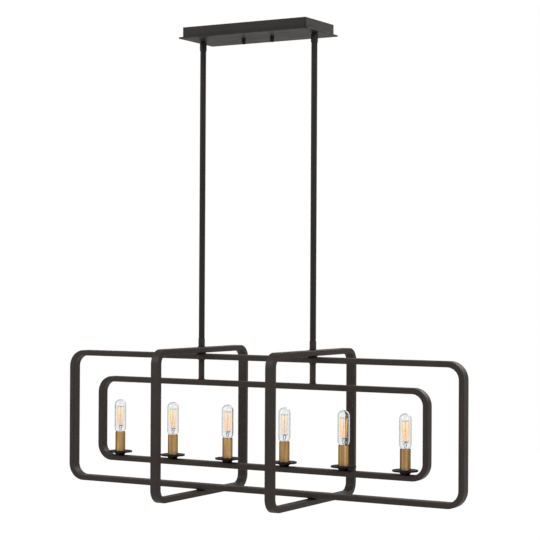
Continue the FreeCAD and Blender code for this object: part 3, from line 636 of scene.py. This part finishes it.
axis_x = {number: middle_of(f"candle_sleeve_{number}").x for number in LIGHT_NUMBERS}
dish_low, dish_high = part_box("bobeche_1")
glass_low, glass_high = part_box("lamp_glass_1")
cap_low, cap_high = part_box("lamp_cap_1")
dish_radius = (dish_high.x - dish_low.x) / 2
dish_tall = dish_high.z - dish_low.z
glass_radius = (glass_high.x - glass_low.x) / 2
sleeve_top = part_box("candle_sleeve_1")[1].z
print("dish radius", round(dish_radius, 4), "glass radius", round(glass_radius, 4))

# %% [markdown]
# ## The dishes
#
# A bobeche is a small spun dish that would catch the wax of a real candle. Its neck flares
# up from the bar, the dish runs out nearly flat, and a rolled lip stiffens the rim. The
# flare is a long soft curve on the real piece, so this profile is drawn again with rounded
# corners, inside the same outer size. Its levels are shares of the dish's height, and the
# third number of each corner is the radius that softens it.

# %% Spin the dishes
NECK_RADIUS = 0.0091
NECK_FLARE = 0.0018
THROAT_RADIUS = 0.0160
NIPPLE_HOLE = 0.00505
SEAT_RADIUS = 0.0119
LIP_WIDTH = 0.0016
NECK_LEVEL = dish_tall * 0.30
THROAT_LEVEL = dish_tall * 0.66
BRIM_LEVEL = dish_tall * 0.76
LIP_LEVEL = dish_tall * 0.64
PLATE_LEVEL = dish_tall * 0.915


def dish_profile():
    return rounded_profile([
        (NIPPLE_HOLE, 0.0, 0),
        (NECK_RADIUS, 0.0, 0.0006),
        (NECK_RADIUS + NECK_FLARE, NECK_LEVEL, 0.0025),
        (THROAT_RADIUS, THROAT_LEVEL, 0.0030),
        (dish_radius - LIP_WIDTH * 1.4, BRIM_LEVEL, 0.0010),
        (dish_radius - LIP_WIDTH, LIP_LEVEL, 0.0007),
        (dish_radius, THROAT_LEVEL, 0.0012),
        (dish_radius, dish_tall, 0.0012),
        (dish_radius - LIP_WIDTH, dish_tall, 0.0009),
        (dish_radius - LIP_WIDTH * 1.8, PLATE_LEVEL, 0.0012),
        (SEAT_RADIUS, PLATE_LEVEL, 0.0004),
        (SEAT_RADIUS, dish_tall, 0.0003),
        (NIPPLE_HOLE, dish_tall, 0),
    ])


dish_mesh = turn_profile("bobeche", dish_profile(), SHADED_DISH_BRONZE, segments=96)
for number in LIGHT_NUMBERS:
    place = (axis_x[number], 0, dish_low.z)
    stand(f"spun_dish_{number}", dish_mesh, place, "hung_frames", f"bobeche_{number}")
print("dish faces:", len(dish_mesh.polygons))

# %% [markdown]
# ## The lamps
#
# Each lamp is a tube of thin glass with a domed end, drawn in at the foot where the cap
# grips it. The glass needs both its faces, outside and inside, because light bends twice
# in it. The inner face is the same curve moved in by the wall.

# %% Blow the glass
GLASS_WALL = 0.0007
FOOT_RADIUS = 0.0097
FOOT_RISE = 0.0009
SHOULDER_RISE = 0.0060
NECK_GLASS_RADIUS = 0.00525
DOME_STEPS = 14


def glass_profile():
    neck_end = glass_low.z - sleeve_top
    neck_top = cap_high.z - sleeve_top
    tip = glass_high.z - sleeve_top
    outside = rounded_profile([
        (NECK_GLASS_RADIUS, neck_end, 0),
        (NECK_GLASS_RADIUS, neck_top, 0.0008),
        (FOOT_RADIUS, FOOT_RISE, 0.0022),
        (glass_radius, SHOULDER_RISE, 0.0035),
        (glass_radius, tip - glass_radius, 0),
    ])

    def domed(points, wall):
        """Close the profile with a dome, smaller all round by the wall."""
        shifted = [Vector((max(point.x - wall, 0.0), point.y)) for point in points]
        radius = glass_radius - wall
        spring = tip - glass_radius
        for step in range(1, DOME_STEPS + 1):
            turn = math.pi / 2 * step / DOME_STEPS
            shifted.append(Vector((radius * math.cos(turn), spring + radius * math.sin(turn))))
        shifted[-1].x = 0.0
        return shifted

    outer = domed(outside, 0.0)
    inner = domed(outside, GLASS_WALL)
    return outer + inner[::-1]


glass_mesh = turn_profile("lamp glass", glass_profile(), FINISHES["lamp_glass"], segments=72)
for number in LIGHT_NUMBERS:
    place = (axis_x[number], 0, sleeve_top)
    body = f"lamp_{number}"
    stand(f"lamp_tube_{number}", glass_mesh, place, body, f"lamp_glass_{number}")
print("glass faces:", len(glass_mesh.polygons))

# %% [markdown]
# ## The filament
#
# One long filament runs up and down between two rings of hooks, a wide one at the top and a
# narrower one below. The wire itself is wound into a tiny coil, which is why it looks thick
# and soft. So each strand is a helix round the straight line between two hooks, swept with
# a round section.

# %% String the filament
STRANDS = 12
CAGE_TOP_RADIUS = 0.0078
CAGE_FOOT_RADIUS = 0.0060
CAGE_TALL = 0.041
CAGE_BELOW_TIP = 0.0163
COIL_RADIUS = 0.00040
COIL_PITCH = 0.00085
COIL_WIRE = 0.00024
POINTS_PER_TURN = 7
cage_top = glass_high.z - sleeve_top - CAGE_BELOW_TIP
cage_foot = cage_top - CAGE_TALL


def wire_mesh(name, paths, thickness, material, sides=2):
    """Sweep a round wire along each path and return one mesh."""
    curve = bpy.data.curves.new(name, "CURVE")
    curve.dimensions = "3D"
    curve.bevel_depth = thickness
    curve.bevel_resolution = sides
    curve.use_fill_caps = True
    for path in paths:
        spline = curve.splines.new("POLY")
        spline.points.add(len(path) - 1)
        for point, place in zip(spline.points, path):
            point.co = (*place, 1.0)
    carrier = bpy.data.objects.new(name, curve)
    data = bpy.data.meshes.new_from_object(carrier)
    bpy.data.objects.remove(carrier)
    data.name = name
    data.materials.clear()
    data.materials.append(material)
    for face in data.polygons:
        face.use_smooth = True
    return data


def hook_place(strand):
    high = strand % 2 == 0
    radius = CAGE_TOP_RADIUS if high else CAGE_FOOT_RADIUS
    turn = 2 * math.pi * strand / STRANDS
    return Vector((radius * math.cos(turn), radius * math.sin(turn), cage_top if high else cage_foot))


def coil_between(start, stop):
    """A tight helix round the straight line from start to stop."""
    along = stop - start
    side = along.orthogonal().normalized()
    other = along.normalized().cross(side)
    steps = int(along.length / COIL_PITCH * POINTS_PER_TURN)
    path = []
    for step in range(steps + 1):
        turn = 2 * math.pi * step / POINTS_PER_TURN
        offset = side * math.cos(turn) + other * math.sin(turn)
        path.append(start + along * (step / steps) + offset * COIL_RADIUS)
    return path


hooks = [hook_place(strand) for strand in range(STRANDS)]
glow_paths = [coil_between(hooks[strand], hooks[strand + 1]) for strand in range(STRANDS - 1)]
glow_mesh = wire_mesh("filament coil", glow_paths, COIL_WIRE, FINISHES["filament"], sides=1)
print("strands:", len(glow_paths), "filament faces:", len(glow_mesh.polygons))

# %% [markdown]
# ## Supports, leads and glass mount
#
# A stem of glass rises from a flared foot, with the wires sealed into it. A thin post stands
# in it and carries the hooks. Two thicker leads come out of the stem, bend apart and bring
# the current to the ends of the filament. The photograph shows them as two dark squiggles,
# so their corners are cut again and again until they bend softly.

# %% Bend the supports and leads
HOOK_WIRE = 0.00026
POST_DEPTH = 0.001
LEAD_RADIUS = 0.00060
LEAD_SPREAD = 0.0040
LEAD_GAP = 0.0008
LEAD_START = 0.007
BEND_DROP = 0.001
WAIST_RISE = 0.0025
HOOK_RISE = 0.0008
MOUNT_TOP = 0.010
cage_middle = (cage_top + cage_foot) / 2


def softened(path, rounds=3):
    """Cut the corners of a path again and again until it bends softly."""
    for _ in range(rounds):
        cut = [path[0]]
        for start, stop in zip(path, path[1:]):
            cut += [start.lerp(stop, 0.25), start.lerp(stop, 0.75)]
        path = cut + [path[-1]]
    return path


def support_paths():
    """The centre post and its hooks, each bent up or down at its end."""
    paths = [[Vector((0, 0, MOUNT_TOP - POST_DEPTH)), Vector((0, 0, cage_top))]]
    for hook in hooks:
        hub = Vector((0, 0, hook.z))
        rise = Vector((0, 0, HOOK_RISE if hook.z > cage_middle else -HOOK_RISE))
        paths.append(softened([hub, hub.lerp(hook, 0.8) + rise * 0.4, hook + rise, hook], rounds=2))
    return paths


def lead_paths():
    """Two leads that leave the mount, spread, and rise to the filament's first and last hook."""
    paths = []
    for side, hook in ((1, hooks[0]), (-1, hooks[-1])):
        start = Vector((side * LEAD_GAP, 0, MOUNT_TOP - LEAD_START))
        bend = Vector((side * LEAD_SPREAD, 0, MOUNT_TOP - BEND_DROP))
        waist = Vector((side * LEAD_SPREAD * 0.5, 0, MOUNT_TOP + WAIST_RISE))
        paths.append(softened([start, bend, waist, Vector((hook.x * 0.9, hook.y, cage_foot))]))
    return paths


support_mesh = wire_mesh("lamp supports", support_paths(), HOOK_WIRE, LEAD_WIRE)
lead_mesh = wire_mesh("lamp leads", lead_paths(), LEAD_RADIUS, LEAD_WIRE)
print("support faces:", len(support_mesh.polygons), "lead faces:", len(lead_mesh.polygons))

# %% [markdown]
# The glass mount is turned like the dishes, but solid: its profile starts and ends on the
# axis. Everything in the glass is drawn with the top of the sleeve as height zero, like the
# glass itself, so the coil, the supports, the leads and the mount share one place.

# %% Draw the glass mount and set up the lamps
MOUNT_RADIUS = 0.0021
FLARE_RADIUS = 0.0044
FLARE_EDGE = 0.0012
FLARE_TALL = 0.0045
mount_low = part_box("filament_1")[0].z - sleeve_top
mount_profile = rounded_profile([
    (0.0, mount_low, 0),
    (FLARE_RADIUS, mount_low, 0.0004),
    (FLARE_RADIUS, mount_low + FLARE_EDGE, 0.0008),
    (MOUNT_RADIUS, mount_low + FLARE_TALL, 0.002),
    (MOUNT_RADIUS, MOUNT_TOP - 0.002, 0.001),
    (MOUNT_RADIUS * 0.7, MOUNT_TOP, 0.0006),
    (0.0, MOUNT_TOP, 0),
])
mount_mesh = turn_profile("glass mount", mount_profile, MOUNT_GLASS, segments=40, closed=False)
for number in LIGHT_NUMBERS:
    place = (axis_x[number], 0, sleeve_top)
    body = f"lamp_{number}"
    stand(f"filament_coil_{number}", glow_mesh, place, body, f"filament_{number}")
    stand(f"lamp_supports_{number}", support_mesh, place, body)
    stand(f"lamp_leads_{number}", lead_mesh, place, body)
    stand(f"glass_mount_{number}", mount_mesh, place, body)
print("mount stands from", round(mount_low, 4), "to", MOUNT_TOP)

# %% [markdown]
# ## Screw threads
#
# The engineer's lamp caps have plain rings, and the canopy studs are plain rods. When a
# lamp is lifted, or the canopy is seen from above, a real thread shows. The radius follows
# a rounded wave of the angle and the height, so the ridge climbs one pitch each turn. A
# lamp cap is thin rolled brass, so its thread is coarse and round.

# %% Make a helix
ROWS_PER_PITCH = 8


def helix(root, depth, pitch, low, high):
    """A ridge on the root radius that climbs one pitch a turn and fades out at both ends."""
    def ridge(angle, r, z):
        if r < root - NEAR or z <= low or z >= high:
            return 0.0
        wave = 0.5 + 0.5 * math.cos(2 * math.pi * (z / pitch - angle / (2 * math.pi)))
        return depth * wave * min(1.0, (z - low) / pitch, (high - z) / pitch)
    return ridge


def thread_rows(root, pitch, low, high):
    """Profile points close enough together to show each turn of the thread."""
    rows = round((high - low) / pitch * ROWS_PER_PITCH)
    return [(root, low + (high - low) * row / rows) for row in range(rows + 1)]


print("each pitch is drawn with", ROWS_PER_PITCH, "rows of points")

# %% [markdown]
# A cap starts with a small contact tip and a cone, carries the thread, and ends in a plain
# rim that grips the glass. Its rim is height zero here. The lower sizes are measured up
# from the tip, and the upper ones down from the rim.

# %% Cut the lamp caps
CAP_PITCH = 0.00254
CAP_THREAD = 0.0004
CAP_WALL = 0.0007
CAP_TIP = 0.0020
TIP_EDGE = 0.0005
TIP_TALL = 0.0016
CONE_TOP = 0.0036
CONE_INSET = 0.0006
THREAD_START = 0.0040
THREAD_END = -0.0022
RIM_START = -0.0016
RIM_EDGE = -0.0011
INNER_FLOOR = 0.0045
cap_crest = (cap_high.x - cap_low.x) / 2
cap_root = cap_crest - CAP_THREAD
cap_bottom = cap_low.z - cap_high.z
cap_thread = (cap_root, CAP_PITCH, cap_bottom + THREAD_START, THREAD_END)
cap_profile = [
    (0.0, cap_bottom),
    (CAP_TIP * 0.7, cap_bottom),
    (CAP_TIP, cap_bottom + TIP_EDGE),
    (CAP_TIP, cap_bottom + TIP_TALL),
    (cap_root - CONE_INSET, cap_bottom + CONE_TOP),
    *thread_rows(*cap_thread),
    (cap_root, RIM_START),
    (cap_crest, RIM_EDGE),
    (cap_crest, 0.0),
    (cap_crest - CAP_WALL, 0.0),
    (cap_crest - CAP_WALL, cap_bottom + INNER_FLOOR),
    (0.0, cap_bottom + INNER_FLOOR),
]
cap_ridge = helix(cap_root, CAP_THREAD, *cap_thread[1:])
cap_mesh = turn_profile("lamp cap", cap_profile, FINISHES["contact_brass"], 48, cap_ridge, closed=False)
for number in LIGHT_NUMBERS:
    place = (axis_x[number], 0, cap_high.z)
    body = f"lamp_{number}"
    stand(f"threaded_cap_{number}", cap_mesh, place, body, f"lamp_cap_{number}")
print("cap faces:", len(cap_mesh.polygons))

# %% [markdown]
# The canopy studs are cut rods with a fine thread from end to end. The same function makes
# them, with a smaller pitch and depth.

# %% Cut the canopy studs
STUD_PITCH = 0.0008
STUD_THREAD = 0.0003
stud_low, stud_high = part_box("canopy_studs")
stud_crest = (stud_high.y - stud_low.y) / 2
stud_root = stud_crest - STUD_THREAD
stud_x = stud_high.x - stud_crest
stud_thread = (stud_root, STUD_PITCH, stud_low.z, stud_high.z)
stud_profile = [(0.0, stud_low.z), *thread_rows(*stud_thread), (0.0, stud_high.z)]
stud_ridge = helix(stud_root, STUD_THREAD, *stud_thread[1:])
stud_mesh = turn_profile("stud", stud_profile, FINISHES["plated_steel"], 24, stud_ridge, closed=False)
stand("stud_right", stud_mesh, (stud_x, 0, 0), "canopy", "canopy_studs")
stand("stud_left", stud_mesh, (-stud_x, 0, 0), "canopy")
print("stud faces:", len(stud_mesh.polygons))

# %% [markdown]
# ## The room
#
# The light hangs in a white studio. The room itself is white to the camera and to rays
# through glass, and softer than that where it lights the metal or shines in it, because
# the real studio has dark corners that keep the bronze dark.

# %% Make the room


def seen_directly(tree):
    """1 for rays from the camera or through glass, and otherwise 0."""
    path = add_node(tree, "ShaderNodeLightPath").outputs
    return math_node(tree, "MAXIMUM", path["Is Camera Ray"], path["Is Transmission Ray"])


ROOM_LIGHT = 0.55
world = bpy.data.worlds.new("white room")
world.use_nodes = True
bpy.context.scene.world = world
world_tree = world.node_tree
room = world_tree.nodes["Background"]
room.inputs["Color"].default_value = (1, 1, 1, 1)
strength = remap(world_tree, seen_directly(world_tree), ROOM_LIGHT, 1.0)
world_tree.links.new(strength, room.inputs["Strength"])
print("room light on the metal:", ROOM_LIGHT)

# %% [markdown]
# ## The floor
#
# The floor far below is pale and takes the shadow. A floor lit by soft lamps is never quite
# as white as the room, so it gets the missing share of white as a glow that only the eye
# sees.

# %% Lay the floor
FLOOR_DROP = 0.85
FLOOR_HALF = 9.0
FLOOR_GLOW = 0.53
floor_mesh = bpy.data.meshes.new("floor")
floor_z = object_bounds()[0][2] - FLOOR_DROP
signs = ((-1, -1), (1, -1), (1, 1), (-1, 1))
corners = [(FLOOR_HALF * x, FLOOR_HALF * y, floor_z) for x, y in signs]
floor_mesh.from_pydata(corners, [], [(0, 1, 2, 3)])
floor = bpy.data.objects.new("floor", floor_mesh)
bpy.context.scene.collection.objects.link(floor)

floor_finish, floor_tree, floor_shader = start_material("pale floor", Roughness=0.9)
floor_shader.inputs["Base Color"].default_value = (0.86, 0.86, 0.86, 1)
floor_shader.inputs["Emission Color"].default_value = (1, 1, 1, 1)
glow = math_node(floor_tree, "MULTIPLY", seen_directly(floor_tree), FLOOR_GLOW)
floor_tree.links.new(glow, floor_shader.inputs["Emission Strength"])
floor_mesh.materials.append(floor_finish)
print("floor at", round(floor_z, 3))

# %% [markdown]
# ## Soft lamps
#
# Three big soft lamps model the bars, as in a product studio: the key from the upper left,
# a weaker one from the right, and one from behind that keeps the far edges apart from the
# white. Big lamps give wide soft shines, also on the round brass.

# %% Hang the soft lamps
LAMPS = {
    "key_lamp": ((-2.2, -2.6, 1.1), 2.4, 50.0),
    "fill_lamp": ((3.2, -1.4, 0.5), 2.0, 34.0),
    "back_lamp": ((0.6, 3.0, 1.2), 2.0, 30.0),
}
AIM = Vector((0.0, 0.0, -0.7))
for name, (place, size, watts) in LAMPS.items():
    light = bpy.data.lights.new(name, "AREA")
    light.size = size
    light.energy = watts
    lamp = bpy.data.objects.new(name, light)
    lamp.location = place
    lamp.rotation_euler = (AIM - Vector(place)).to_track_quat("-Z", "Y").to_euler()
    lamp.visible_camera = False
    bpy.context.scene.collection.objects.link(lamp)
print("lamps, in watts:", {name: watts for name, (_, _, watts) in LAMPS.items()})
